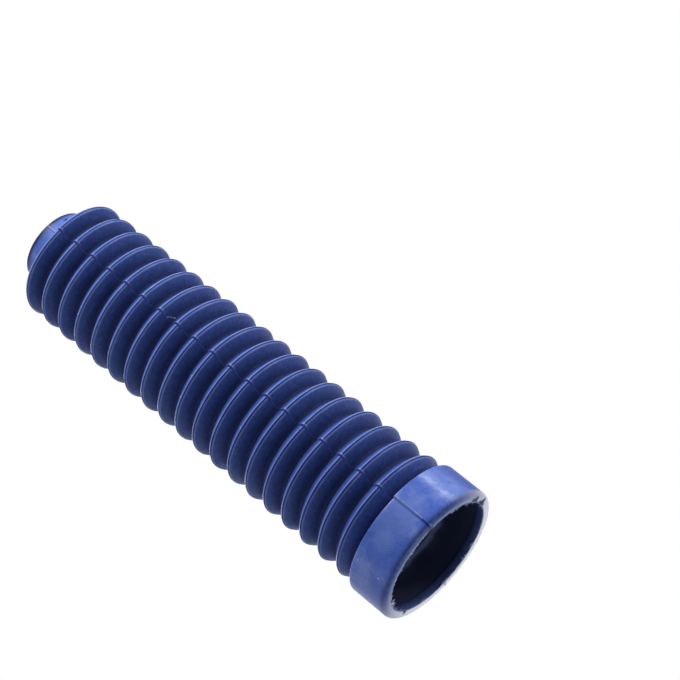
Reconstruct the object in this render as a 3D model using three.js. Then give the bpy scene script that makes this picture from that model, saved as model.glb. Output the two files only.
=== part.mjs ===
// Fork gaiter: a moulded rubber bellows that covers the bare tube of a motorbike's front fork.
// Millimetres, +Z up. The part stands on the open end of its wide collar, so Z = 0 is that end's flat face,
// +Z runs along the axis towards the neck that grips the tube, and the origin is the centre of the open end.
import * as THREE from "three";
import { mergeVertices } from "three/addons/utils/BufferGeometryUtils.js";

// Bellows
const ribCount = 19;
const ribPitch = 10.5;
const lastRibRadius = 29.9; // crest of the rib beside the collar
const firstRibRadius = 27.8; // crest of the rib beside the neck
const foldDepth = 5.2; // from a crest down to the valley beside it
const crestWidth = 2.2;
const crestCrown = 0.35; // how far the middle of a crest stands above its edges
const valleyWidth = 1.1;
const bellowsWall = 1.7;
const collarToCrest = 8.2; // from the collar's shoulder to the nearest crest

// Collar, which grips the fork's slider
const collarRadius = 31.6;
const collarLength = 19.4;
const collarWall = 3.6;
const collarShoulder = 0.7; // rounding of the edge beside the bellows
const shoulderRise = 1.1; // how far the face beside the bellows climbs from that edge to the valley
const mouthRounding = 1.8; // outer edge of the open end
const mouthRadius = 27.1;
const lipDepth = 3.6; // the thicker lip inside the open end
const lipRounding = 0.6;
const webThickness = 2.4; // floor between the collar's bore and the bellows

// Neck, which grips the fork's tube
const neckRadius = 17.2;
const neckWall = 2.5;
const neckReach = 12.6; // from the nearest crest to the end face
const neckRounding = 1;
const neckShoulderRun = 5; // length along the axis of the slope from the crest down to the neck
const neckBoreChamfer = 0.4;

// Facets
const sides = 32;
const roundSteps = 3; // facets in each rounded edge of the two ends
const crestSteps = 2; // facets across each crest

const firstCrestZ = collarLength + collarToCrest;
const lastCrestZ = firstCrestZ + (ribCount - 1) * ribPitch;
const overallLength = lastCrestZ + neckReach;

// Height of a crest, counted from the collar. Halves give the valleys between the crests.
function foldZ(index) {
  return firstCrestZ + index * ribPitch;
}

// Crest radius at a fold, counted in the same way: the bellows narrows evenly towards the neck.
function crestRadiusAt(index) {
  const share = index / (ribCount - 1);
  return lastRibRadius + share * (firstRibRadius - lastRibRadius);
}

function valleyRadiusAt(index) {
  return crestRadiusAt(index) - foldDepth;
}

// Points of a quarter round between two corners' tangent points, from angle a to angle b in degrees.
function roundedEdge(centreR, centreZ, radius, a, b) {
  const points = [];
  for (let step = 0; step <= roundSteps; step++) {
    const angle = THREE.MathUtils.degToRad(a + ((b - a) * step) / roundSteps);
    points.push([centreR + radius * Math.cos(angle), centreZ + radius * Math.sin(angle)]);
  }
  return points;
}

// A crest's crowned land, from its collar side to its neck side.
function crest(index) {
  const points = [];
  for (let step = 0; step <= crestSteps; step++) {
    const across = (2 * step) / crestSteps - 1;
    const radius = crestRadiusAt(index) - crestCrown * across ** 2;
    points.push([radius, foldZ(index) + (across * crestWidth) / 2]);
  }
  return points;
}

// The flat bottom of the valley between a crest and the next one.
function valley(index) {
  const middle = index + 0.5;
  const radius = valleyRadiusAt(middle);
  return [
    [radius, foldZ(middle) - valleyWidth / 2],
    [radius, foldZ(middle) + valleyWidth / 2],
  ];
}

// How far along the axis a slanting wall's inner face lies behind its outer face, and the width that this
// leaves for the flat of the inward ridge behind each valley.
const flankRun = (ribPitch - crestWidth - valleyWidth) / 2;
const wallAlongAxis = (bellowsWall * Math.hypot(flankRun, foldDepth)) / foldDepth;
const ridgeWidth = valleyWidth + 2 * (wallAlongAxis - (bellowsWall * flankRun) / foldDepth);

// The inner apex behind a crest, where the two slanting inner faces meet.
function innerApex(index) {
  const behind = Math.max(bellowsWall, ((wallAlongAxis - crestWidth / 2) * foldDepth) / flankRun);
  return [crestRadiusAt(index) - crestCrown - behind, foldZ(index)];
}

// The inward ridge behind a valley, from its neck side to its collar side.
function innerRidge(index) {
  const middle = index + 0.5;
  const radius = valleyRadiusAt(middle) - bellowsWall;
  return [
    [radius, foldZ(middle) + ridgeWidth / 2],
    [radius, foldZ(middle) - ridgeWidth / 2],
  ];
}

// The outline of the wall as [radius, height] points: up the outside and down the inside.
function wallOutline() {
  const endFold = -0.5; // the half fold between the collar and the first crest
  const endValleyRadius = valleyRadiusAt(endFold);
  const endValleyZ = collarLength + shoulderRise;
  const outside = [
    ...roundedEdge(collarRadius - mouthRounding, mouthRounding, mouthRounding, -90, 0),
    ...roundedEdge(collarRadius - collarShoulder, collarLength - collarShoulder, collarShoulder, 0, 90),
    [endValleyRadius, endValleyZ],
    [endValleyRadius, endValleyZ + valleyWidth],
  ];
  for (let index = 0; index < ribCount; index++) {
    outside.push(...crest(index));
    if (index < ribCount - 1) outside.push(...valley(index));
  }
  outside.push(
    [neckRadius, lastCrestZ + neckShoulderRun],
    ...roundedEdge(neckRadius - neckRounding, overallLength - neckRounding, neckRounding, 0, 90),
  );

  const boreRadius = neckRadius - neckWall;
  const neckShoulderZ = lastCrestZ + neckShoulderRun - wallAlongAxis / 2;
  const inside = [
    [boreRadius + neckBoreChamfer, overallLength],
    [boreRadius, overallLength - neckBoreChamfer],
    [boreRadius, neckShoulderZ],
  ];
  for (let index = ribCount - 1; index >= 0; index--) {
    inside.push(innerApex(index));
    if (index > 0) inside.push(...innerRidge(index - 1));
  }
  const collarBore = collarRadius - collarWall;
  inside.push(
    [endValleyRadius - bellowsWall, endValleyZ + (valleyWidth + ridgeWidth) / 2],
    [endValleyRadius - bellowsWall, collarLength - webThickness + collarShoulder],
    [endValleyRadius - bellowsWall + collarShoulder, collarLength - webThickness],
    [collarBore, collarLength - webThickness],
    [collarBore, lipDepth + lipRounding],
    [mouthRadius, lipDepth],
    [mouthRadius, lipRounding],
    [mouthRadius + lipRounding, 0],
  );
  return [...outside, ...inside];
}

// Turns the closed outline round the Z axis into one solid wall, open at both ends.
function turnedWall(outline) {
  const profile = outline.map(([radius, height]) => new THREE.Vector2(radius, height));
  profile.push(profile[0].clone());
  const turned = new THREE.LatheGeometry(profile, sides);
  turned.deleteAttribute("normal");
  turned.deleteAttribute("uv");
  const wall = mergeVertices(turned.rotateX(Math.PI / 2), 1e-4);
  wall.computeVertexNormals();
  return wall;
}

const blueRubber = new THREE.MeshStandardMaterial({
  name: "blue_rubber",
  color: new THREE.Color(0.31, 0.39, 0.7),
  roughness: 0.55,
  metalness: 0,
});

const gaiter = new THREE.Mesh(turnedWall(wallOutline()), blueRubber);
gaiter.name = "gaiter";

const forkGaiter = new THREE.Group();
forkGaiter.add(gaiter);

export default forkGaiter;
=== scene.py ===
"""Looks of a blue rubber fork gaiter, laid out as an add-on.

One operator builds each piece, and one builds the stage. The gaiter stands on the open end of its
wide collar at the origin, with its axis along +Z. Lengths are in metres, and heights are along +Z.
"""

import math
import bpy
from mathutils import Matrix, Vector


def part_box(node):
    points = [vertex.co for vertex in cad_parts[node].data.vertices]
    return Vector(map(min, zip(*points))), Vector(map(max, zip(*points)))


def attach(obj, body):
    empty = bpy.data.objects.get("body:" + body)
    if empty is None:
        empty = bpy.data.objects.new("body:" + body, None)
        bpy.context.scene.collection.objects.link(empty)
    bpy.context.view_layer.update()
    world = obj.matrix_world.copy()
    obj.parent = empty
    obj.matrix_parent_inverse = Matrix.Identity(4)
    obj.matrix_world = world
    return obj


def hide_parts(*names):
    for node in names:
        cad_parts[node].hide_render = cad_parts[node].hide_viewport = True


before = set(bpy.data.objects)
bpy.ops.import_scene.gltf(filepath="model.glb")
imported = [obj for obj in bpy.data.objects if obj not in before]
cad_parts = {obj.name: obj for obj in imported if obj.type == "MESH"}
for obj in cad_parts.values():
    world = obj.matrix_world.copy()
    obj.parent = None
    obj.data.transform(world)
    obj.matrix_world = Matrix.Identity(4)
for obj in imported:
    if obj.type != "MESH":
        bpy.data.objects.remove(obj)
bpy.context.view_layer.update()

from types import SimpleNamespace

import bpy
import numpy as np
from bpy.props import FloatProperty, FloatVectorProperty, IntProperty, PointerProperty
from mathutils import Matrix, Vector

bl_info = {
    "name": "Fork gaiter",
    "version": (1, 0, 0),
    "blender": (4, 5, 0),
    "location": "View3D > Sidebar > Gaiter",
    "description": "Builds a moulded rubber fork gaiter and a plain studio stage for it",
    "category": "Add Mesh",
}

MM = 0.001
NODE = "gaiter"
BODY = "root"
LOW, HIGH = (Vector(corner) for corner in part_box(NODE))
LENGTH = HIGH.z - LOW.z
COLLAR_RADIUS = (HIGH.x - LOW.x) / 2

# Longest straight runs between points of the outline
FLANK_RUN = 2.2 * MM
END_RUN = 1.5 * MM
INNER_RUN = 4 * MM

# A distance across a line, in millimetres, at which nothing of the line is seen
FAR_ACROSS = 9.0

# The floor lies a little below the gaiter, and the flash stays above the floor.
FLOOR_HEIGHT = -0.2 * MM
FLASH_FLOOR = -0.15 * MM

# The camera, fitted to the photograph: its place, and in degrees where it looks and its roll
CAMERA_PLACE = (0, -0.91296, -0.31813)
CAMERA_AZIMUTH = 87.214
CAMERA_ELEVATION = 24.26
CAMERA_ROLL = 51.94

# Each lamp's azimuth and elevation in degrees, its distance, its width and its height. It aims at the
# gaiter's middle.
LAMPS = {
    "key": (-62, 50, 0.95, 0.4, 0.4),
    "side": (-5, 18, 0.95, 0.12, 0.4),
    "low_side": (-5, -12, 0.95, 0.12, 0.4),
    "fill": (-165, -5, 0.95, 0.5, 0.5),
    "back": (100, 40, 1.0, 0.6, 0.6),
    "mouth": (-90, -90, 0.55, 0.05, 0.05),
}


def length(name, millimetres, description):
    """A property that holds a length, with its default given in millimetres."""
    return FloatProperty(
        name=name, default=millimetres * MM, unit="LENGTH", precision=5, description=description
    )


def turn(name, degrees, description):
    """A property that holds an angle, with its default given in degrees."""
    return FloatProperty(
        name=name, default=math.radians(degrees), subtype="ANGLE", description=description
    )


def power(name, watts, description):
    """A property that holds a lamp's power."""
    return FloatProperty(name=name, default=watts, unit="POWER", description=description)


def linear(level):
    """A display level from 0 to 255 as the linear value that renders as that level."""
    share = level / 255
    return share / 12.92 if share <= 0.04045 else ((share + 0.055) / 1.055) ** 2.4


def colour(name, display, description):
    """A property that holds a colour, with its default given as display levels from 0 to 255."""
    return FloatVectorProperty(
        name=name,
        default=(*(linear(level) for level in display), 1.0),
        size=4,
        min=0.0,
        max=1.0,
        subtype="COLOR",
        description=description,
    )


class GaiterSizes(bpy.types.PropertyGroup):
    """Sizes of the moulding."""

    rib_count: IntProperty(name="Ribs", default=19, min=2, description="Number of ribs")
    rib_pitch: length("Rib pitch", 10.5, "From one crest to the next")
    last_rib_radius: length("Last rib radius", 29.9, "Crest of the rib beside the collar")
    first_rib_radius: length("First rib radius", 27.8, "Crest of the rib beside the neck")
    fold_depth: length("Fold depth", 5.2, "From a crest down to the valley beside it")
    crest_width: length("Crest width", 2.2, "Width of the rounded land on each crest")
    crest_crown: length("Crest crown", 0.35, "How far the middle of a crest stands above its edges")
    crest_rounding: length("Crest rounding", 0.9, "Radius of a crest's two edges")
    valley_width: length("Valley width", 1.1, "Width of a valley before it is rounded")
    valley_rounding: length("Valley rounding", 0.95, "Radius of a valley's two corners")
    wall: length("Wall", 1.7, "Thickness of the bellows' wall")
    collar_to_crest: length("Collar to crest", 8.2, "From the collar's shoulder to the nearest crest")
    collar_length: length("Collar length", 19.4, "From the open end to the collar's shoulder")
    collar_wall: length("Collar wall", 3.6, "Thickness of the collar's wall")
    collar_shoulder: length("Collar shoulder", 0.7, "Rounding of the collar's edge beside the bellows")
    shoulder_rise: length("Shoulder rise", 1.1, "Climb of the collar's face beside the bellows")
    mouth_rounding: length("Mouth rounding", 1.8, "Radius of the open end's outer edge")
    mouth_radius: length("Mouth radius", 27.1, "Inner edge of the open end")
    lip_depth: length("Lip depth", 3.6, "Depth of the thicker lip inside the open end")
    lip_rounding: length("Lip rounding", 0.6, "Radius of the open end's inner edge")
    web: length("Web", 2.4, "Floor between the collar's bore and the bellows")
    neck_radius: length("Neck radius", 17.2, "Outside of the neck")
    neck_wall: length("Neck wall", 2.5, "Thickness of the neck's wall")
    neck_rounding: length("Neck rounding", 1.0, "Radius of the neck's outer end edge")
    neck_shoulder: length("Neck shoulder", 5.0, "Run of the slope from the nearest crest to the neck")


class GaiterDetail(bpy.types.PropertyGroup):
    """Marks that the mould and its trimming leave."""

    seam_angle: turn("Seam angle", -76.6, "Where one parting seam runs; the other lies opposite")
    seam_height: length("Seam height", 0.05, "How far the seam's ridge stands out")
    seam_width: length("Seam width", 0.2, "Half width of the seam's ridge")
    mould_shift: length("Mould shift", 0.22, "How far each mould half lies off along the axis")
    line_height: length("Crest line height", 0.18, "Height of the fine moulding line on each crest")
    line_width: length("Crest line width", 0.28, "Half width of that line at its foot")
    waviness: length("Waviness", 0.12, "How far the soft wall strays from a true round")
    line_offset: length("Light line offset", 0.6, "From a moulding line to the rubbed line beside it")
    flash_reach: length("Flash reach", 0.9, "Usual reach of the trimming flash inside the mouth")
    flash_thickness: length("Flash thickness", 0.3, "Thickness of the flash where it is rooted")
    seed: IntProperty(name="Seed", default=7, description="Seed of the waviness and the ragged flash")


class GaiterColours(bpy.types.PropertyGroup):
    """Colours of the rubber and of its marks, and of its painted shade and highlights."""

    collar_blue: colour("Collar blue", (56, 89, 182), "Smooth rubber of the collar and the neck")
    bellows_blue: colour("Bellows blue", (44, 68, 138), "Rubber of the ribs")
    # Painted shade in the folds; also the darker blue of random patches and of the flash.
    dark_blue_and_fold_shade: colour("Fold blue", (25, 39, 87), "Rubber down in the folds")
    # Painted shade: a darker strip on the collar's +X side.
    side_shade_blue: colour("Deep blue", (36, 60, 138), "Rubber of the collar where it has been wiped")
    # Pale film, also used as painted highlight near the crests and in one patch on the collar.
    bloom_and_highlight: colour("Bloom", (104, 128, 198), "Pale film on rubber that has lain about")
    # Painted highlight: the light lines beside the crests' fine lines.
    line_highlight: colour("Rubbed", (142, 165, 236), "Rubbed lines beside the crests' fine lines")
    # Painted shade: the mouth's rim on the -Y side.
    lip_shade: colour("Lip, near side", (17, 26, 68), "The mouth's rim on the -Y side")
    lip_edge: colour("Lip, near edge", (105, 118, 160), "Rubbed inner edge of the rim's -Y side")
    # Painted light: the mouth's rim on the +Y side, near white as if blown out.
    lip_highlight: colour("Lip, far side", (244, 245, 250), "The mouth's rim on the +Y side")
    # Painted highlight: the light line on the seam's lit side.
    seam_highlight: colour("Scuff", (168, 178, 226), "Rubbed edges beside the seam")
    # Dark moulding lines: partly painted shade of their fine ridges.
    line_blue: colour("Moulding line", (7, 24, 106), "The seam and the fine line along each crest")
    neck_shade: colour("Neck rim", (10, 24, 64), "The dark band at the neck's end")
    torn_pale: colour("Torn edge", (218, 222, 238), "Torn edges of the flash")
    speck_pale: colour("Specks", (186, 194, 228), "Dust specks, nicks and scratches")
    # Painted shade deep inside the bore.
    inside_shade: colour("Inside", (46, 53, 82), "Rubber inside the bellows")


class GaiterStage(bpy.types.PropertyGroup):
    """Camera, lamps and floor."""

    floor_radius: length("Floor radius", 900.0, "Radius of the floor's disc")
    floor_white: FloatProperty(name="Floor white", default=0.86, description="Whiteness of the floor")
    ambient: FloatProperty(name="Ambient", default=0.25, description="Strength of the world's light")
    key_power: power("Key", 8.7, "Lamp high in front")
    side_power: power("Side", 2.4, "Strip lamp on the +X side")
    low_side_power: power("Low side", 3.7, "Strip lamp below it")
    fill_power: power("Fill", 1.8, "Soft lamp on the -X side")
    back_power: power("Back", 4.3, "Lamp behind, high up")
    mouth_power: power("Mouth", 1.1, "Lamp under the open end")
    lens: length("Lens", 126.98, "Focal length on a sensor 36 mm wide")


def first_crest(sizes):
    """Height of the crest beside the collar."""
    return sizes.collar_length + sizes.collar_to_crest


def crest_radius_at(sizes, height):
    """Crest radius at a height: it changes evenly from the collar's rib to the neck's rib."""
    run = (sizes.rib_count - 1) * sizes.rib_pitch
    share = (height - first_crest(sizes)) / run
    return sizes.last_rib_radius + share * (sizes.first_rib_radius - sizes.last_rib_radius)


def last_crest(sizes):
    """Height of the crest beside the neck."""
    return first_crest(sizes) + (sizes.rib_count - 1) * sizes.rib_pitch


def repeated(sizes, template, heights):
    """Corners of one fold's template, repeated at each height.

    A template's row holds an offset along the axis, a drop below the crest line, a rounding, the
    number of points in that rounding and the longest straight run after it. A corner's radius is
    the crest line's radius at its own height, less its drop.
    """
    rows = np.broadcast_to(template, (len(heights), *template.shape)).copy()
    rows[:, :, 0] += np.asarray(heights)[:, None]
    rows = rows.reshape(-1, template.shape[1])
    height = rows[:, 0].copy()
    rows[:, 0] = crest_radius_at(sizes, height) - rows[:, 1]
    rows[:, 1] = height
    return rows


def rib_template(sizes, detail):
    """One rib and the valley above it.

    Its corners are the crest's lower edge, the fine line's four corners, the crest's upper edge and
    the valley's two corners.
    """
    half, crown = sizes.crest_width / 2, sizes.crest_crown
    foot, top = detail.line_width, detail.line_width / 3
    foot_drop = crown * (foot / half) ** 2
    middle, valley = sizes.rib_pitch / 2, sizes.valley_width / 2
    crest_edge = [crown, sizes.crest_rounding, 4, FLANK_RUN]
    valley_edge = [sizes.fold_depth, sizes.valley_rounding, 4, FLANK_RUN]
    line_foot = [foot_drop, 0, 1, FLANK_RUN]
    line_top = [-detail.line_height, 0, 1, FLANK_RUN]
    return np.array(
        [
            [-half, *crest_edge],
            [-foot, *line_foot],
            [-top, *line_top],
            [top, *line_top],
            [foot, *line_foot],
            [half, *crest_edge],
            [middle - valley, *valley_edge],
            [middle + valley, *valley_edge],
        ]
    )


def wall_behind(sizes):
    """How the bellows' inner faces lie behind its slanting walls.

    Gives a slanting wall's run along the axis, how far its inner face lies behind it along the
    axis, and half the width of the flat of the inward ridge behind a valley.
    """
    run = (sizes.rib_pitch - sizes.crest_width - sizes.valley_width) / 2
    along = sizes.wall * math.hypot(run, sizes.fold_depth) / sizes.fold_depth
    ridge = sizes.valley_width / 2 + along - sizes.wall * run / sizes.fold_depth
    return run, along, ridge


def inner_template(sizes):
    """The inside of one fold, from its ridge behind a valley down to the apex behind the next crest.

    The slanting inner faces lie one wall's thickness behind the outer ones.
    """
    run, along, ridge = wall_behind(sizes)
    behind = max(sizes.wall, (along - sizes.crest_width / 2) * sizes.fold_depth / run)
    middle = sizes.rib_pitch / 2
    ridge_edge = [sizes.fold_depth + sizes.wall, 0.6 * MM, 2, sizes.rib_pitch]
    return np.array(
        [
            [middle + ridge, *ridge_edge],
            [middle - ridge, *ridge_edge],
            [0, sizes.crest_crown + behind, 0.5 * MM, 2, sizes.rib_pitch],
        ]
    )


def gaiter_corners(sizes, detail):
    """Corners of the wall's section, up the outside and down the inside, and how many are outside.

    Each row is a radius, a height, a rounding, a number of points in it and the longest straight
    run after.
    """
    start, end = first_crest(sizes), last_crest(sizes)
    collar, neck = COLLAR_RADIUS, sizes.neck_radius
    valley_radius = crest_radius_at(sizes, start - sizes.rib_pitch / 2) - sizes.fold_depth
    valley_height = sizes.collar_length + sizes.shoulder_rise
    crests = start + sizes.rib_pitch * np.arange(sizes.rib_count)
    valley_edge = [0.5 * MM, 3, END_RUN]
    outside = np.concatenate(
        [
            [[collar, 0, sizes.mouth_rounding, 8, END_RUN]],
            [[collar, sizes.collar_length, sizes.collar_shoulder, 4, END_RUN]],
            [[valley_radius, valley_height, *valley_edge]],
            [[valley_radius, valley_height + sizes.valley_width, *valley_edge]],
            repeated(sizes, rib_template(sizes, detail), crests)[:-2],
            [[neck, end + sizes.neck_shoulder, 0.9 * MM, 4, END_RUN]],
            [[neck, LENGTH, sizes.neck_rounding, 6, END_RUN]],
        ]
    )
    _, along, ridge = wall_behind(sizes)
    bore = neck - sizes.neck_wall
    bellows_bore = valley_radius - sizes.wall
    collar_bore = collar - sizes.collar_wall
    last_ridge = valley_height + sizes.valley_width / 2 + ridge
    web_height = sizes.collar_length - sizes.web
    lip_back = sizes.lip_depth + sizes.lip_rounding
    inside = np.concatenate(
        [
            [[bore, LENGTH, 0.4 * MM, 3, INNER_RUN]],
            [[bore, end + sizes.neck_shoulder - along / 2, 1 * MM, 3, INNER_RUN]],
            repeated(sizes, inner_template(sizes), crests[::-1])[2:],
            [[bellows_bore, last_ridge, 0.6 * MM, 3, INNER_RUN]],
            [[bellows_bore, web_height, sizes.collar_shoulder, 4, INNER_RUN]],
            [[collar_bore, web_height, 1.2 * MM, 4, INNER_RUN]],
            [[collar_bore, lip_back, 0.3 * MM, 2, INNER_RUN]],
            [[sizes.mouth_radius, sizes.lip_depth, 0.4 * MM, 3, INNER_RUN]],
            [[sizes.mouth_radius, 0, sizes.lip_rounding, 5, END_RUN]],
        ]
    )
    return np.concatenate([outside, inside]), len(outside)


def counted(count):
    """Repeats points by their counts: gives each new point's old point and its step from there."""
    owner = np.repeat(np.arange(len(count)), count)
    return owner, np.arange(len(owner)) - np.repeat(np.cumsum(count) - count, count)


def rounded_outline(corners):
    """Points of a closed outline with its corners rounded, and the corner that each point belongs to.

    An arc of radius r between two edges that turn by t starts r tan(t/2) before its corner. Its
    centre lies r to the side of that start, and its points are the start turned about the centre by
    even shares of t.
    """
    place, radius, count = corners[:, :2], corners[:, 2], corners[:, 3].astype(int)
    arrive = place - np.roll(place, 1, axis=0)
    arrive /= np.linalg.norm(arrive, axis=1, keepdims=True)
    leave = np.roll(arrive, -1, axis=0)
    cross = arrive[:, 0] * leave[:, 1] - arrive[:, 1] * leave[:, 0]
    turned = np.arctan2(cross, (arrive * leave).sum(axis=1))
    side = np.stack([-arrive[:, 1], arrive[:, 0]], axis=1) * np.sign(turned)[:, None]
    start = place - arrive * (radius * np.tan(np.abs(turned) / 2))[:, None]
    centre = start + side * radius[:, None]
    owner, step = counted(count)
    angle = step / np.maximum(count[owner] - 1, 1) * turned[owner]
    spoke_r, spoke_z = (start - centre)[owner].T
    rolled_r = spoke_r * np.cos(angle) - spoke_z * np.sin(angle)
    rolled_z = spoke_r * np.sin(angle) + spoke_z * np.cos(angle)
    return centre[owner] + np.stack([rolled_r, rolled_z], axis=1), owner


def filled(points, longest):
    """Adds even points to each run of a closed outline that is longer than its limit.

    Gives the points, and the run that each of them lies in.
    """
    gap = np.roll(points, -1, axis=0) - points
    count = np.maximum(np.ceil(np.linalg.norm(gap, axis=1) / longest), 1).astype(int)
    owner, step = counted(count)
    share = step / count[owner]
    return points[owner] + gap[owner] * share[:, None], owner


def column_angles(detail):
    """Angles of the surface's columns: crowded at the two seams, even between them."""
    near = np.array([-0.9, -0.5, -0.28, -0.12, 0.0, 0.12, 0.28, 0.5, 0.9]) * MM / COLLAR_RADIUS
    even_columns = 67
    between = np.linspace(near[-1], math.pi + near[0], even_columns + 2)[1:-1]
    half = np.concatenate([near, between])
    return detail.seam_angle + np.concatenate([half, half + math.pi])


def smooth_step(low, high, value):
    """0 below low, 1 above high, and 3s^2 - 2s^3 of the share s between them."""
    share = np.clip((value - low) / (high - low), 0, 1)
    return share * share * (3 - 2 * share)


def wander(angle, height, seed, waves=7):
    """A smooth random field round the axis: a sum of sines over the root of their number.

    Each sine takes a whole number of turns of the angle, a rate times the height and a phase.
    """
    random = np.random.default_rng(seed)
    turns = random.integers(1, 6, waves)
    rate = random.uniform(-55, 55, waves)
    phase = random.uniform(0, 2 * math.pi, waves)
    field = np.sin(turns * angle[..., None] + rate * height[..., None] + phase)
    return field.sum(axis=-1) / math.sqrt(waves)


def gaiter_surface(sizes, detail):
    """The gaiter as a grid of points, with its masks: rows along the section, columns round the axis.

    A point is (r cos a, r sin a, z). Inside and outside, r and z gain a smooth wander. On the
    outside r also gains a ridge exp(-(d/w)^2) at distance d from a seam, and z gains the shift of
    its mould half, which changes sign at the seams.
    """
    corners, outer_corners = gaiter_corners(sizes, detail)
    outline, corner = rounded_outline(corners)
    longest_runs = corners[:, 4]
    outline, point = filled(outline, longest_runs[corner])
    outer = corner[point] < outer_corners
    angle = column_angles(detail)[None, :]
    radius, height = outline[:, :1], outline[:, 1:]
    offset = radius * np.sin(angle - detail.seam_angle)
    seam = np.exp(-((offset / detail.seam_width) ** 2)) * outer[:, None]
    half = np.clip(offset / detail.seam_width, -1, 1)
    away_from_ends = smooth_step(3 * MM, 7 * MM, height)
    away_from_ends = away_from_ends * (1 - smooth_step(LENGTH - 4 * MM, LENGTH - MM, height))
    first_rib_top = first_crest(sizes) + sizes.rib_pitch
    soft = smooth_step(sizes.collar_length, first_rib_top, height) * away_from_ends
    angle, tall = np.broadcast_arrays(angle, height)
    bulge = detail.waviness * wander(angle, tall, detail.seed) * soft
    slide = detail.waviness * wander(angle, tall, detail.seed + 1) * soft
    r = radius + bulge + seam * detail.seam_height * away_from_ends
    z = height + slide + half * detail.mould_shift * away_from_ends * outer[:, None]
    points = np.stack([r * np.cos(angle), r * np.sin(angle), z], axis=-1)
    return points, gaiter_masks(sizes, outline, outer, offset)


def gaiter_masks(sizes, outline, outer, offset):
    """What the rubber's colours follow at every point of the grid.

    Masks run from 0 to 1. The two distances, across the nearest crest and across the nearest seam,
    are in millimetres.
    """
    radius, height = outline[:, 0], outline[:, 1]
    start, end = first_crest(sizes), last_crest(sizes)
    collar_top, neck_foot = sizes.collar_length, end + sizes.neck_shoulder
    on_bellows = smooth_step(collar_top - 0.2 * MM, collar_top + 0.6 * MM, height)
    on_bellows *= 1 - smooth_step(neck_foot - MM, neck_foot + 0.5 * MM, height)
    drop = crest_radius_at(sizes, height) - radius
    from_crest = (height - start + sizes.rib_pitch / 2) % sizes.rib_pitch - sizes.rib_pitch / 2
    crest_reach = np.where(from_crest > 0, 2.0 * MM, 1.1 * MM)
    mouth = sizes.mouth_radius
    rim = 1 - smooth_step(1.0 * MM, 2.8 * MM, height)
    rim = rim * smooth_step(mouth - 0.1 * MM, mouth + 0.6 * MM, radius)
    rows = {
        "smooth": (1 - on_bellows) * outer,
        "fold": smooth_step(0.6 * MM, sizes.fold_depth, drop) * on_bellows * outer,
        "crest": (1 - smooth_step(0.2 * MM, crest_reach, drop)) * on_bellows * outer,
        "crest_across": from_crest / MM,
        "rim": rim,
        "edge": rim * (1 - smooth_step(mouth + 0.9 * MM, mouth + 2.7 * MM, radius)),
        "neck": smooth_step(end, neck_foot, height) * outer,
        "neck_rim": smooth_step(LENGTH - 2.7 * MM, LENGTH - 2.0 * MM, height) * outer,
        "inside": smooth_step(1.2 * MM, sizes.lip_depth + 1.2 * MM, height) * (1 - outer),
    }
    masks = {name: np.broadcast_to(row[:, None], offset.shape) for name, row in rows.items()}
    seamed = outer | (height < 0.5 * MM)
    masks["seam_across"] = np.where(seamed[:, None], offset / MM, FAR_ACROSS)
    return masks


def flash_surface(sizes, detail):
    """A ragged film round the mouth's inner edge: a thin tongue whose reach follows a random field.

    The field is a sum of cosines that weaken with their number of turns, and the reach grows with e
    to its power. The section is a closed tongue of six points, wide at the root and thin at the
    tip. It is laid along the reach, and pressed flat where it hangs below the end face.
    """
    columns, waves = 900, 219
    angle = np.linspace(0, 2 * math.pi, columns, endpoint=False)
    random = np.random.default_rng(detail.seed + 2)
    turns = np.arange(1, waves + 1)
    strength = random.normal(size=waves) / (1 + turns / 25)
    phase = random.uniform(0, 2 * math.pi, waves)
    rough = (strength * np.cos(np.outer(angle, turns) + phase)).sum(axis=1)
    rough /= rough.std()
    least, most = 0.3, 2.2
    reach = detail.flash_reach * np.clip(least + 0.45 * np.exp(0.9 * rough), least, most)
    lean = 0.5 + 0.35 * np.sin(5 * angle + phase[0]) + 0.2 * np.sin(17 * angle + phase[1])
    along = np.array([-0.4, 0.55, 1.0, 1.0, 0.55, -0.4])
    across = np.array([0.5, 0.32, 0.14, -0.14, -0.32, -0.5])
    root = np.array([sizes.mouth_radius + 0.3 * MM, 0.25 * MM])
    inward = np.stack([-np.ones(columns), 0.6 * (lean - 0.5)], axis=1)
    inward /= np.linalg.norm(inward, axis=1, keepdims=True)
    normal = np.stack([inward[:, 1], -inward[:, 0]], axis=1)
    section = (
        root
        + along[:, None, None] * (reach[:, None] * inward)
        + across[:, None, None] * detail.flash_thickness * normal
    )
    radius, height = section[..., 0], np.maximum(section[..., 1], FLASH_FLOOR)
    return np.stack([radius * np.cos(angle), radius * np.sin(angle), height], axis=-1)


def placed(made):
    """Puts an object in the scene's collection and gives it back."""
    bpy.context.collection.objects.link(made)
    return made


def ring_object(name, points, masks):
    """A closed ring of quads from a grid that wraps both ways, with each mask as an attribute."""
    rows, columns = points.shape[:2]
    here = np.arange(rows * columns).reshape(rows, columns)
    beside = np.roll(here, -1, axis=1)
    above, corner = np.roll(here, -1, axis=0), np.roll(beside, -1, axis=0)
    quads = np.stack([here, beside, corner, above], axis=-1).reshape(-1, 4)
    mesh = bpy.data.meshes.new(name)
    mesh.vertices.add(rows * columns)
    mesh.vertices.foreach_set("co", points.astype(np.float32).ravel())
    mesh.loops.add(quads.size)
    mesh.loops.foreach_set("vertex_index", quads.astype(np.int32).ravel())
    mesh.polygons.add(len(quads))
    mesh.polygons.foreach_set("loop_start", np.arange(0, quads.size, 4, dtype=np.int32))
    mesh.polygons.foreach_set("use_smooth", np.ones(len(quads), dtype=bool))
    mesh.update(calc_edges=True)
    mesh.validate()
    for mask, values in masks.items():
        kept = mesh.attributes.new(mask, "FLOAT", "POINT")
        kept.data.foreach_set("value", np.ascontiguousarray(values, dtype=np.float32).ravel())
    return placed(bpy.data.objects.new(name, mesh))


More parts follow.
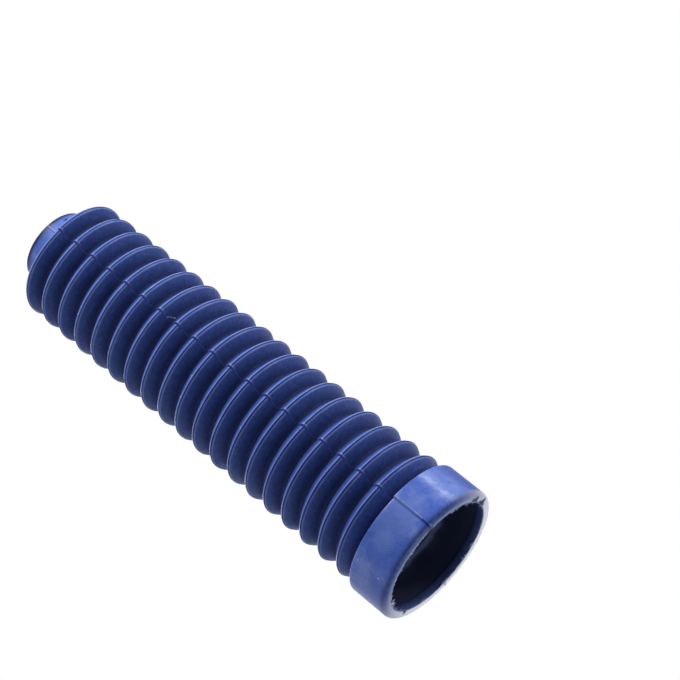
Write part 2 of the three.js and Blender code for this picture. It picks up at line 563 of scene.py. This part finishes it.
def add_node(tree, kind, values=None, **settings):
    """Adds a node, sets its settings, and links or sets its inputs by name or number."""
    made = tree.nodes.new(kind)
    for key, value in settings.items():
        setattr(made, key, value)
    for key, value in (values or {}).items():
        if isinstance(value, bpy.types.NodeSocket):
            tree.links.new(value, made.inputs[key])
        else:
            made.inputs[key].default_value = value
    return made


def maths(tree, operation, first, second=0.5, third=0.5, clamp=False):
    """The result of a maths node on two or three values."""
    values = {0: first, 1: second, 2: third}
    return add_node(tree, "ShaderNodeMath", values, operation=operation, use_clamp=clamp).outputs[0]


def times(tree, first, second):
    """The product of two values."""
    return maths(tree, "MULTIPLY", first, second)


def sloped(tree, value, slope, start, clamp=False):
    """A value times a slope, plus a start."""
    return maths(tree, "MULTIPLY_ADD", value, slope, start, clamp)


def largest(tree, first, *others):
    """The largest of some values."""
    for other in others:
        first = maths(tree, "MAXIMUM", first, other)
    return first


def vector_maths(tree, operation, *vectors):
    """The outputs of a vector maths node on one or two vectors."""
    values = dict(enumerate(vectors))
    return add_node(tree, "ShaderNodeVectorMath", values, operation=operation).outputs


def mixed(tree, factor, first, second):
    """Two colours mixed by a factor."""
    values = {0: factor, 6: first, 7: second}
    return add_node(tree, "ShaderNodeMix", values, data_type="RGBA", clamp_factor=True).outputs[2]


def ramp(tree, value, low, high, start=0.0, end=1.0):
    """A value mapped smoothly from low..high to start..end."""
    values = dict(enumerate((value, low, high, start, end)))
    return add_node(tree, "ShaderNodeMapRange", values, interpolation_type="SMOOTHSTEP").outputs[0]


def noise(tree, vector, scale, detail=2.0, roughness=0.5, distortion=0.0):
    """A noise value from 0 to 1 on the given coordinates."""
    values = {"Vector": vector, "Scale": scale, "Detail": detail, "Roughness": roughness}
    values["Distortion"] = distortion
    return add_node(tree, "ShaderNodeTexNoise", values).outputs[0]


def new_group(name, inputs, outputs):
    """A shader node group, what it is given and what it results in.

    Each input is a number or a vector, as its default is, and each output is a number.
    """
    tree = bpy.data.node_groups.new(name, "ShaderNodeTree")
    for label, default in inputs.items():
        kind = "NodeSocketFloat" if isinstance(default, float) else "NodeSocketVector"
        tree.interface.new_socket(label, in_out="INPUT", socket_type=kind).default_value = default
    for label in outputs:
        tree.interface.new_socket(label, in_out="OUTPUT", socket_type="NodeSocketFloat")
    given, result = tree.nodes.new("NodeGroupInput"), tree.nodes.new("NodeGroupOutput")
    return tree, given.outputs, result.inputs


def use_group(tree, group, values):
    """Places a group in a node tree and returns its outputs."""
    return add_node(tree, "ShaderNodeGroup", values, node_tree=group).outputs


def grain_group(name):
    """Moulded rubber's grain: a fine pebbled height over a slow swell, and a mask of pits."""
    inputs = {"Vector": (0, 0, 0), "Fineness": 2600.0, "Swell": 90.0}
    tree, given, result = new_group(name, inputs, ("Height", "Pits"))
    fine = noise(tree, given["Vector"], given["Fineness"], detail=3.0, roughness=0.6)
    swell = noise(tree, given["Vector"], given["Swell"])
    coarser = times(tree, given["Fineness"], 0.35)
    pits = noise(tree, given["Vector"], coarser, detail=1.0, roughness=0.4)
    pit = ramp(tree, pits, 0.68, 0.78)
    height = sloped(tree, fine, slope=0.25, start=swell)
    height = sloped(tree, pit, slope=-0.2, start=height)
    tree.links.new(height, result["Height"])
    tree.links.new(pit, result["Pits"])
    return tree


def bloom_group(name):
    """The pale film on old rubber: a cloudy mask, broken up by finer blotches."""
    inputs = {"Vector": (0, 0, 0), "Cloud Scale": 70.0, "Cover": 0.5}
    tree, given, result = new_group(name, inputs, ("Mask",))
    vector, scale = given["Vector"], given["Cloud Scale"]
    cloud = noise(tree, vector, scale, detail=3.0, roughness=0.55, distortion=0.4)
    blotch = noise(tree, vector, times(tree, scale, 5.5), detail=3.0, roughness=0.6)
    both = sloped(tree, cloud, slope=0.72, start=times(tree, blotch, 0.28))
    low = sloped(tree, given["Cover"], slope=-0.5, start=0.78)
    high = maths(tree, "ADD", low, 0.22)
    tree.links.new(ramp(tree, both, low, high), result["Mask"])
    return tree


def mark_group(name):
    """A small mark: 1 near a place and 0 beyond a size, stretched by a scale and frayed by noise."""
    vectors = {"Vector": (0, 0, 0), "Place": (0, 0, 0), "Stretch": (1, 1, 1)}
    tree, given, result = new_group(name, vectors | {"Size": 0.5 * MM}, ("Mask",))
    apart = vector_maths(tree, "SUBTRACT", given["Vector"], given["Place"])[0]
    stretched = vector_maths(tree, "MULTIPLY", apart, given["Stretch"])[0]
    far = vector_maths(tree, "LENGTH", stretched)["Value"]
    fray = times(tree, noise(tree, given["Vector"], scale=1800.0), given["Size"])
    edge = maths(tree, "SUBTRACT", maths(tree, "ADD", far, fray), given["Size"])
    soft = times(tree, given["Size"], 0.5)
    tree.links.new(ramp(tree, edge, soft, 0.0), result["Mask"])
    return tree


def line_group(name):
    """A moulding line, from the distance across it: a dark middle with a light line on each side."""
    inputs = {"Across": FAR_ACROSS, "Width": 0.3, "Offset": 0.6}
    tree, given, result = new_group(name, inputs, ("Dark", "Light Above", "Light Below"))
    far = maths(tree, "ABSOLUTE", given["Across"])
    inner = times(tree, given["Width"], 0.35)
    tree.links.new(ramp(tree, far, inner, given["Width"], start=1.0, end=0.0), result["Dark"])
    for sign, label in ((1.0, "Light Above"), (-1.0, "Light Below")):
        side = times(tree, given["Across"], sign)
        apart = maths(tree, "ABSOLUTE", maths(tree, "SUBTRACT", side, given["Offset"]))
        light = ramp(tree, apart, inner, given["Width"], start=1.0, end=0.0)
        tree.links.new(light, result[label])
    return tree


def attribute(tree, name):
    """A mask that the mesh keeps under a name."""
    made = add_node(tree, "ShaderNodeAttribute", attribute_name=name, attribute_type="GEOMETRY")
    return made.outputs["Fac"]


def empty_material(name):
    """A node material with nothing in its tree, and the tree."""
    material = bpy.data.materials.new(name)
    material.use_nodes = True
    material.node_tree.nodes.clear()
    return material, material.node_tree


def end_in(tree, kind, shader):
    """Wires a shader to the tree's output node, of the given kind."""
    output = tree.nodes.new(kind)
    tree.links.new(shader, output.inputs["Surface"])


def new_material(name):
    """A node material, its tree and a Principled surface wired to the output."""
    material, tree = empty_material(name)
    surface = tree.nodes.new("ShaderNodeBsdfPrincipled")
    end_in(tree, "ShaderNodeOutputMaterial", surface.outputs[0])
    return material, tree, surface


def add_grain(tree, surface, height, strength, distance):
    """Gives a surface its fine grain, as a bump of a height."""
    values = {"Strength": strength, "Distance": distance, "Height": height}
    bump = add_node(tree, "ShaderNodeBump", values)
    tree.links.new(bump.outputs[0], surface.inputs["Normal"])


def film(tree, groups, vector, scale, cover):
    """A mask of the pale film on the given coordinates."""
    values = {"Vector": vector, "Cloud Scale": scale, "Cover": cover}
    return use_group(tree, groups["bloom_and_highlight"], values)["Mask"]


def rubber_fields(tree, groups, mask_names):
    """What the rubber's colours and finish follow: place, textures, masks, the painted shade at +X."""
    place = add_node(tree, "ShaderNodeTexCoord").outputs["Object"]
    axes = add_node(tree, "ShaderNodeSeparateXYZ", {0: place}).outputs
    drawn_round = vector_maths(tree, "MULTIPLY", place, (1, 1, 7))[0]
    fine = noise(tree, place, scale=620.0, detail=4.0, roughness=0.7)
    coarse = noise(tree, place, scale=380.0, detail=4.0, roughness=0.65)
    at = SimpleNamespace(
        place=place,
        x=axes["X"],
        y=axes["Y"],
        z=axes["Z"],
        cloud=film(tree, groups, place, scale=60.0, cover=0.66),
        dust=film(tree, groups, place, scale=420.0, cover=0.45),
        streaks=film(tree, groups, drawn_round, scale=110.0, cover=0.5),
        mottle=ramp(tree, fine, 0.3, 0.7),
        patches=ramp(tree, coarse, 0.35, 0.75),
        **{name: attribute(tree, name) for name in mask_names},
    )
    # Painted shade: a strip on the collar's +X side.
    at.wiped = ramp(tree, at.x, 0.82 * COLLAR_RADIUS, 0.97 * COLLAR_RADIUS)
    at.wiped = times(tree, at.wiped, at.smooth)
    return at


def plain_rubber(tree, at, colours):
    """The rubber's colour without its lines: painted shade in the folds and at +X, mottle, film and
    painted crest highlight.
    """
    base = mixed(tree, at.smooth, colours.bellows_blue, colours.collar_blue)
    # Painted shade: darker towards the bottom of each fold.
    base = mixed(tree, at.fold, base, colours.dark_blue_and_fold_shade)
    mottling = times(tree, at.mottle, sloped(tree, at.fold, slope=-0.15, start=0.2))
    base = mixed(tree, mottling, base, colours.bloom_and_highlight)
    base = mixed(tree, times(tree, at.patches, 0.22), base, colours.dark_blue_and_fold_shade)
    cover = times(tree, at.cloud, sloped(tree, at.smooth, slope=0.55, start=0.05))
    cover = sloped(tree, at.neck, slope=0.3, start=cover)
    base = mixed(tree, cover, base, colours.bloom_and_highlight)
    # Painted shade on the collar's +X side.
    base = mixed(tree, times(tree, at.wiped, 0.8), base, colours.side_shade_blue)
    # Pale streaks along the ribs near their crests: partly film, partly painted highlight.
    open_rib = maths(tree, "SUBTRACT", 1.0, largest(tree, at.fold, at.smooth))
    streaked = times(tree, at.streaks, times(tree, open_rib, 0.35))
    base = mixed(tree, streaked, base, colours.bloom_and_highlight)
    # Painted highlight along each crest, stronger where the dust film lies.
    crest_highlight_and_dust = times(tree, at.crest, sloped(tree, at.dust, slope=0.25, start=0.08))
    return mixed(tree, crest_highlight_and_dust, base, colours.bloom_and_highlight)


def moulding_line(tree, groups, detail, across, width):
    """The masks of a moulding line: its dark middle and the light lines beside it."""
    values = {"Across": across, "Width": width, "Offset": detail.line_offset / MM}
    return use_group(tree, groups["line"], values)


def with_crest_lines(tree, base, at, colours, groups, detail):
    """Adds a dark line along each crest, fainter towards the neck and partly painted shade of its
    ridge, and a painted highlight line on each side.
    """
    marks = moulding_line(tree, groups, detail, at.crest_across, width=0.54)
    # Painted highlight: the light lines beside each crest's fine line.
    highlight_share = times(tree, at.crest, sloped(tree, at.streaks, slope=0.35, start=0.42))
    highlight_share = times(tree, highlight_share, ramp(tree, at.z, 30 * MM, 130 * MM, start=0.78, end=1.0))
    base = mixed(tree, times(tree, marks["Light Above"], highlight_share), base, colours.line_highlight)
    highlight_share_below = times(tree, highlight_share, 0.7)
    base = mixed(tree, times(tree, marks["Light Below"], highlight_share_below), base, colours.line_highlight)
    # The dark line is partly painted shade of the fine ridge along the crest.
    sharp = times(tree, at.crest, ramp(tree, at.z, 100 * MM, 170 * MM, start=1.0, end=0.65))
    sharp = times(tree, sharp, sloped(tree, at.streaks, slope=-0.3, start=1.0))
    return mixed(tree, times(tree, marks["Dark"], sharp), base, colours.line_blue)


def with_rims(tree, base, at, colours):
    """Adds the mouth's rim and the dark band at the neck's end.

    The rim is painted light on the +Y side, near white as if blown out. On the -Y side it is painted
    shade, dark, with a pale, worn inner edge.
    """
    # Painted light and shade: the rim goes from dark on the -Y side to near white on the +Y side.
    far_side = ramp(tree, sloped(tree, at.x, slope=0.15, start=at.y), -24 * MM, 18 * MM)
    lip = mixed(tree, at.edge, colours.lip_shade, colours.lip_edge)
    lip = mixed(tree, far_side, lip, colours.lip_highlight)
    lip = mixed(tree, times(tree, at.mottle, 0.16), lip, colours.bloom_and_highlight)
    rim = times(tree, at.rim, ramp(tree, at.dust, 0.0, 0.9, start=0.75, end=1.0))
    base = mixed(tree, rim, base, lip)
    return mixed(tree, at.neck_rim, base, colours.neck_shade)


def with_seams(tree, base, at, colours, groups, detail):
    """Adds the parting seams, and gives the colour and the mask of their dark line.

    The dark line, partly painted shade of the seam's ridge, is strongest on the collar and the crests
    and weakest down in the folds. The light line beside it, a painted highlight on the ridge's lit
    side, shows on the collar, the neck and the crests.
    """
    width = sloped(tree, at.smooth, slope=0.12, start=0.68)
    width = sloped(tree, at.neck, slope=-0.35, start=width)
    marks = moulding_line(tree, groups, detail, at.seam_across, width)
    # Painted highlight: a light line on the lit side of the seam's ridge.
    light = sloped(tree, at.crest, slope=0.3, start=times(tree, at.smooth, at.cloud))
    light = sloped(tree, at.neck, slope=0.3, start=light)
    base = mixed(tree, times(tree, marks["Light Above"], light), base, colours.seam_highlight)
    # The dark seam line is partly painted shade of the seam's ridge.
    in_folds = sloped(tree, at.fold, slope=-0.35, start=0.45)
    dark = sloped(tree, largest(tree, at.smooth, at.crest), slope=0.55, start=in_folds)
    dark = sloped(tree, at.neck, slope=-0.6, start=dark, clamp=True)
    seam = times(tree, marks["Dark"], dark)
    return mixed(tree, seam, base, colours.line_blue), seam


def add_finish(tree, surface, at, seam, pits):
    """Roughness that grows with the film and in the folds, and a soft sheen on clean smooth rubber."""
    rough = sloped(tree, at.cloud, slope=0.16, start=0.42)
    rough = sloped(tree, largest(tree, at.fold, at.inside), slope=0.3, start=rough)
    rough = sloped(tree, pits, slope=0.1, start=rough)
    tree.links.new(rough, surface.inputs["Roughness"])
    surface.inputs["Specular IOR Level"].default_value = 0.14
    sheen = sloped(tree, times(tree, at.cloud, at.mottle), slope=0.6, start=0.25)
    dull = largest(tree, at.neck_rim, at.rim, at.wiped, seam)
    clean = maths(tree, "SUBTRACT", at.smooth, dull, clamp=True)
    tree.links.new(times(tree, clean, sheen), surface.inputs["Coat Weight"])
    surface.inputs["Coat Roughness"].default_value = 0.25


def gaiter_material(scene, groups, mask_names):
    """Blue rubber, with its film and wear, its painted shade and highlights, its moulding lines, its
    two rims and its small marks.
    """
    colours, detail = scene.gaiter_colours, scene.gaiter_detail
    material, tree, surface = new_material("Blue rubber")
    at = rubber_fields(tree, groups, mask_names)
    grain = use_group(tree, groups["grain"], {"Vector": at.place})
    base = plain_rubber(tree, at, colours)
    base = with_crest_lines(tree, base, at, colours, groups, detail)
    base = with_rims(tree, base, at, colours)
    base, seam = with_seams(tree, base, at, colours, groups, detail)
    # Painted shade deeper inside the bore, beyond the lip.
    base = mixed(tree, at.inside, base, colours.inside_shade)
    base = speckled(tree, base, at.place, colours, scene.gaiter_sizes, groups)
    tree.links.new(base, surface.inputs["Base Color"])
    add_finish(tree, surface, at, seam, grain["Pits"])
    add_grain(tree, surface, grain["Height"], strength=0.35, distance=0.2 * MM)
    return material


def on_wall(degrees, height, radius):
    """A place at an angle round the axis, and at a height and a radius in millimetres."""
    angle = math.radians(degrees)
    return (radius * MM * math.cos(angle), radius * MM * math.sin(angle), height * MM)


def speckled(tree, base, place, colours, sizes, groups):
    """Adds a painted highlight patch, cloudy patches, specks, nicks, a scratch and dark notches in
    painted shade.

    A mark is a place, a stretch that shrinks it where it is above 1, and a size. Angles are in
    degrees, and heights and radii in millimetres.
    """
    collar, rib = COLLAR_RADIUS / MM, sizes.last_rib_radius / MM
    mouth, neck, top = sizes.mouth_radius / MM, sizes.neck_radius / MM, LENGTH / MM
    even = (1, 1, 1)
    nicked_crests = (
        (-126.5, 186.3), (-138.5, 165.3), (-124.0, 123.3), (-102.5, 123.3), (-110.0, 91.8),
    )
    nicks = [
        ((angle, height, crest_radius_at(sizes, height * MM) / MM), even, 0.85)
        for angle, height in nicked_crests
    ]
    specks = [
        ((-131.0, 17.0, collar), even, 0.35),
        ((-132.5, 5.7, collar), (1, 1, 0.5), 0.3),
        ((-118.0, 24.6, rib - 1.6), (0.3, 1, 1.6), 0.3),
    ]
    scratch = [
        ((-75.6 + 1.1 * step, 150.6 - 0.34 * step, 25.6 - 0.44 * step), even, 0.48)
        for step in range(6)
    ]
    patches = [
        # The first patch is a painted highlight on the collar; the other two are pale cloudy patches.
        ((-44.0, 18.5, collar), (1, 1, 0.5), 4.5),
        ((-84.0, 13.0, collar), (0.6, 0.6, 0.8), 9.0),
        ((-106.0, 11.0, collar), even, 6.0),
    ]
    notches = [
        ((-48.5, top - 3.5, neck), (0.5, 0.5, 1.1), 0.75),
        # Painted shade: dark marks on the mouth's rim, as of the dark inside seen through tears.
        ((-17.0, 0, mouth + 0.3), (1, 0.6, 0.5), 2.3),
        ((-16.0, 0, mouth + 1.2), (0.8, 1, 0.5), 2.1),
        ((-1.0, 0, mouth + 0.2), (1, 0.5, 0.5), 2.3),
        ((0.0, 0, mouth + 1.4), (0.7, 1.3, 0.5), 2.1),
        ((-76.6, 0, mouth + 1.0), (0.7, 1, 0.5), 1.6),
        ((158.0, 0, mouth + 0.5), (1, 1, 0.5), 1.6),
    ]
    kinds = (
        (patches, 0.4, colours.bloom_and_highlight),
        (specks + nicks, 0.75, colours.speck_pale),
        (scratch, 0.4, colours.speck_pale),
        (notches, 1.0, colours.neck_shade),
    )
    for marks, strength, tint in kinds:
        for where, stretch, size in marks:
            values = {"Vector": place, "Place": on_wall(*where), "Stretch": stretch}
            values["Size"] = size * MM
            mask = use_group(tree, groups["mark"], values)["Mask"]
            base = mixed(tree, times(tree, mask, strength), base, tint)
    return base


def flash_material(colours, groups):
    """Thin rubber of the trimming flash, torn pale towards -X and -Y and dark towards +X and +Y."""
    material, tree, surface = new_material("Torn rubber")
    place = add_node(tree, "ShaderNodeTexCoord").outputs["Object"]
    axes = add_node(tree, "ShaderNodeSeparateXYZ", {0: place}).outputs
    near_side = ramp(tree, axes["Y"], -12 * MM, 6 * MM, start=1.0, end=0.12)
    left_side = ramp(tree, axes["X"], 10 * MM, 22 * MM, start=1.0, end=0.15)
    near_side = times(tree, near_side, left_side)
    torn = times(tree, film(tree, groups, place, scale=300.0, cover=0.62), near_side)
    base = mixed(tree, torn, colours.dark_blue_and_fold_shade, colours.torn_pale)
    tree.links.new(base, surface.inputs["Base Color"])
    grain = use_group(tree, groups["grain"], {"Vector": place, "Fineness": 3400.0})
    add_grain(tree, surface, grain["Height"], strength=0.4, distance=0.1 * MM)
    surface.inputs["Roughness"].default_value = 0.5
    return material


def effect_groups():
    """The node groups that the materials share, made once."""
    makers = {
        "grain": ("Rubber grain", grain_group),
        "bloom_and_highlight": ("Pale bloom", bloom_group),
        "line": ("Moulding line", line_group),
        "mark": ("Small mark", mark_group),
    }
    made = bpy.data.node_groups
    return {key: made.get(name) or make(name) for key, (name, make) in makers.items()}


class GAITER_OT_moulding(bpy.types.Operator):
    """Build the gaiter's moulding, bellows, collar and neck in one piece"""

    bl_idname = "gaiter.moulding"
    bl_label = "Moulding"

    def execute(self, context):
        scene = context.scene
        points, masks = gaiter_surface(scene.gaiter_sizes, scene.gaiter_detail)
        piece = ring_object("gaiter_moulding", points, masks)
        piece.data.materials.append(gaiter_material(scene, effect_groups(), masks))
        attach(piece, BODY)
        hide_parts(NODE)
        return {"FINISHED"}


class GAITER_OT_flash(bpy.types.Operator):
    """Build the ragged trimming flash round the mouth's inner edge"""

    bl_idname = "gaiter.flash"
    bl_label = "Trimming flash"

    def execute(self, context):
        scene = context.scene
        points = flash_surface(scene.gaiter_sizes, scene.gaiter_detail)
        piece = ring_object("mouth_flash", points, {})
        piece.data.materials.append(flash_material(scene.gaiter_colours, effect_groups()))
        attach(piece, BODY)
        return {"FINISHED"}


def direction(azimuth, elevation):
    """A unit vector at an azimuth from +X towards +Y, and at an elevation."""
    level = math.cos(elevation)
    return Vector((math.cos(azimuth) * level, math.sin(azimuth) * level, math.sin(elevation)))


def looking(ahead, roll, location):
    """A camera's matrix: it looks straight ahead, turned by the roll about its line of sight."""
    level = ahead.cross(Vector((0, 0, 1))).normalized()
    upright = level.cross(ahead)
    right = level * math.cos(roll) - upright * math.sin(roll)
    up = upright * math.cos(roll) + level * math.sin(roll)
    matrix = Matrix((right, up, -ahead)).transposed().to_4x4()
    matrix.translation = location
    return matrix


def add_camera(stage):
    """The camera, low in front of the open end, as the photograph was taken."""
    ahead = direction(math.radians(CAMERA_AZIMUTH), math.radians(CAMERA_ELEVATION))
    data = bpy.data.cameras.new("Camera")
    data.lens = stage.lens / MM
    data.sensor_width = 36
    camera = placed(bpy.data.objects.new("Camera", data))
    camera.matrix_world = looking(ahead, math.radians(CAMERA_ROLL), Vector(CAMERA_PLACE))
    bpy.context.scene.camera = camera


def add_lamp(name, azimuth_degrees, elevation_degrees, distance, width, height, watts):
    """A soft rectangular lamp on a sphere round the gaiter's middle, turned towards it."""
    data = bpy.data.lights.new(name, "AREA")
    data.shape = "RECTANGLE"
    data.size = width
    data.size_y = height
    data.energy = watts
    lamp = placed(bpy.data.objects.new(name, data))
    away = direction(math.radians(azimuth_degrees), math.radians(elevation_degrees))
    lamp.location = Vector((0, 0, LENGTH / 2)) + away * distance
    lamp.visible_camera = False
    lamp.rotation_mode = "QUATERNION"
    lamp.rotation_quaternion = away.to_track_quat("Z", "Y")


def world_light(stage):
    """A plain world: white to the camera and in gloss or clear surfaces, and a soft grey as light."""
    world = bpy.data.worlds.new("Studio")
    bpy.context.scene.world = world
    world.use_nodes = True
    tree = world.node_tree
    tree.nodes.clear()
    path = tree.nodes.new("ShaderNodeLightPath").outputs
    rays = ("Is Camera Ray", "Is Glossy Ray", "Is Transmission Ray")
    seen = largest(tree, *(path[ray] for ray in rays))
    plain = {"Color": (1, 1, 1, 1)}
    light = add_node(tree, "ShaderNodeBackground", plain | {"Strength": stage.ambient})
    white = add_node(tree, "ShaderNodeBackground", plain | {"Strength": 1.0})
    values = {0: seen, 1: light.outputs[0], 2: white.outputs[0]}
    both = add_node(tree, "ShaderNodeMixShader", values)
    end_in(tree, "ShaderNodeOutputWorld", both.outputs[0])


def floor_material(stage):
    """A pale floor that fades out at its rim and isn't seen from below."""
    material, tree = empty_material("Pale floor")
    place = add_node(tree, "ShaderNodeTexCoord").outputs["Object"]
    far = vector_maths(tree, "LENGTH", place)["Value"]
    rim = ramp(tree, far, stage.floor_radius * 0.3, stage.floor_radius * 0.98)
    below = tree.nodes.new("ShaderNodeNewGeometry").outputs["Backfacing"]
    white = (stage.floor_white, stage.floor_white, stage.floor_white, 1)
    pale = add_node(tree, "ShaderNodeBsdfDiffuse", {"Color": white})
    clear = tree.nodes.new("ShaderNodeBsdfTransparent")
    values = {0: largest(tree, rim, below), 1: pale.outputs[0], 2: clear.outputs[0]}
    both = add_node(tree, "ShaderNodeMixShader", values)
    end_in(tree, "ShaderNodeOutputMaterial", both.outputs[0])
    return material


def add_floor(stage):
    """The floor: a flat disc just under the gaiter, with its points on even circles."""
    sides, rings = 96, 4
    angle = np.linspace(0, 2 * math.pi, sides, endpoint=False)
    radius = stage.floor_radius * np.arange(1, rings + 1) / rings
    x, y = np.outer(radius, np.cos(angle)), np.outer(radius, np.sin(angle))
    ring = np.stack([x, y, np.full((rings, sides), FLOOR_HEIGHT)], axis=-1).reshape(-1, 3)
    points = np.concatenate([[[0, 0, FLOOR_HEIGHT]], ring])
    here = 1 + np.arange(rings * sides).reshape(rings, sides)
    beside = np.roll(here, -1, axis=1)
    quads = np.stack([here[:-1], here[1:], beside[1:], beside[:-1]], axis=-1).reshape(-1, 4)
    middle = np.stack([np.zeros(sides, dtype=int), here[0], beside[0]], axis=-1)
    mesh = bpy.data.meshes.new("floor")
    mesh.from_pydata(points.tolist(), [], middle.tolist() + quads.tolist())
    floor = placed(bpy.data.objects.new("floor", mesh))
    floor.data.materials.append(floor_material(stage))
    for ray in ("shadow", "diffuse", "glossy", "transmission"):
        setattr(floor, "visible_" + ray, False)


class GAITER_OT_stage(bpy.types.Operator):
    """Build the camera, the lamps, the world and the floor"""

    bl_idname = "gaiter.stage"
    bl_label = "Stage"

    def execute(self, context):
        stage = context.scene.gaiter_stage
        add_camera(stage)
        for name, placing in LAMPS.items():
            add_lamp(name, *placing, getattr(stage, name + "_power"))
        world_light(stage)
        add_floor(stage)
        context.scene.view_settings.view_transform = "Standard"
        return {"FINISHED"}


class GAITER_PT_panel(bpy.types.Panel):
    """Sizes, colours and the steps that build the gaiter"""

    bl_idname = "GAITER_PT_panel"
    bl_label = "Fork gaiter"
    bl_space_type = "VIEW_3D"
    bl_region_type = "UI"
    bl_category = "Gaiter"

    def draw(self, context):
        for group in GROUPS:
            settings = getattr(context.scene, group)
            box = self.layout.box()
            for name in settings.bl_rna.properties.keys():
                if name not in {"rna_type", "name"}:
                    box.prop(settings, name)
        for operator in OPERATORS:
            self.layout.operator(operator.bl_idname)


GROUPS = {
    "gaiter_sizes": GaiterSizes,
    "gaiter_detail": GaiterDetail,
    "gaiter_colours": GaiterColours,
    "gaiter_stage": GaiterStage,
}
OPERATORS = (GAITER_OT_moulding, GAITER_OT_flash, GAITER_OT_stage)
CLASSES = (*GROUPS.values(), *OPERATORS, GAITER_PT_panel)


def register():
    """Registers the classes and hangs the settings on the scene."""
    for each in CLASSES:
        bpy.utils.register_class(each)
    for name, group in GROUPS.items():
        setattr(bpy.types.Scene, name, PointerProperty(type=group))


def unregister():
    """Takes the settings off the scene and unregisters the classes."""
    for name in GROUPS:
        delattr(bpy.types.Scene, name)
    for each in reversed(CLASSES):
        bpy.utils.unregister_class(each)


def main():
    """Builds the gaiter and its stage."""
    register()
    bpy.ops.gaiter.moulding()
    bpy.ops.gaiter.flash()
    bpy.ops.gaiter.stage()


if __name__ == "__main__":
    main()
